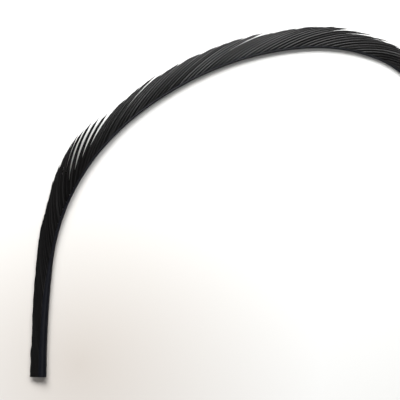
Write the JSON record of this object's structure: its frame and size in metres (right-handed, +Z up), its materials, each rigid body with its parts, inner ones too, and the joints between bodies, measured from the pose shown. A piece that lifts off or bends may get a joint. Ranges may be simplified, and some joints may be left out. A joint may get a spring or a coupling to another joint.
{
  "type": "turkey biot strip",
  "caption": "Bowed strip of black-dyed biots: a thin quill sliver with stiff pointed barbs grown along one side, a few parted, fanning out free at the far end.",
  "frame": {"origin": "middle of the bounding box at the height of the surface that the strip lies on", "axes": "+Z up, away from the surface; +X along the widest reach of the bow, from the cut end's side to the fanned end; +Y from the cut end towards the top of the bow"},
  "size_m": [0.1726, 0.1296, 0.0026],
  "materials": {
    "biot": "satin"
  },
  "bodies": {
    "root": {"biot_strip": "biot"}
  },
  "joints": []
}
